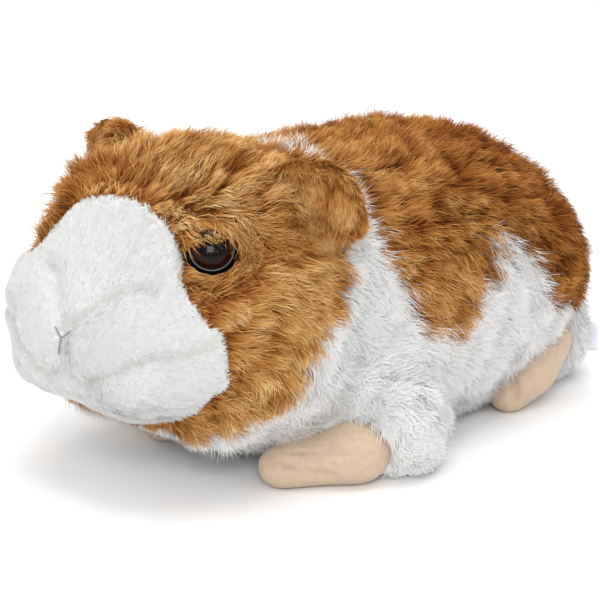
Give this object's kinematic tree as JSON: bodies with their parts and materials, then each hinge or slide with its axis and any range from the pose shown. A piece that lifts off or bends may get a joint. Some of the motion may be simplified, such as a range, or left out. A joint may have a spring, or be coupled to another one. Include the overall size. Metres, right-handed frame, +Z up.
{
  "type": "plush guinea pig",
  "caption": "Stuffed plush guinea pig lying on its belly, with long caramel and white pile, flap ears, domed safety eyes, a stitched nose and velour paws.",
  "frame": {"origin": "on the floor under the middle of the belly, halfway between the sides", "axes": "+Z up, the nose towards -Y, the toy's own left side at +X"},
  "size_m": [0.1469, 0.2378, 0.1072],
  "materials": {
    "caramel_plush": "long tousled pile, tan tips over reddish-brown roots",
    "white_plush": "fluffy white pile, short on the muzzle",
    "peach_velour": "matte short-nap velour",
    "black_plastic": "glossy black flange and clear dome over a dark brown iris",
    "grey_thread": "twisted embroidery thread",
    "white_satin": "blank satin ribbon"
  },
  "bodies": {
    "root": {"trunk": "caramel_plush", "head": "caramel_plush", "ear_left": "caramel_plush", "ear_right": "caramel_plush", "muzzle": "white_plush", "front_leg_left": "white_plush", "front_leg_right": "white_plush", "hind_leg_left": "white_plush", "hind_leg_right": "white_plush", "front_paw_left": "peach_velour", "front_paw_right": "peach_velour", "hind_paw_left": "peach_velour", "hind_paw_right": "peach_velour", "eye_left": "black_plastic", "eye_right": "black_plastic", "nose_stitches": "grey_thread", "care_label": "white_satin"}
  },
  "joints": []
}
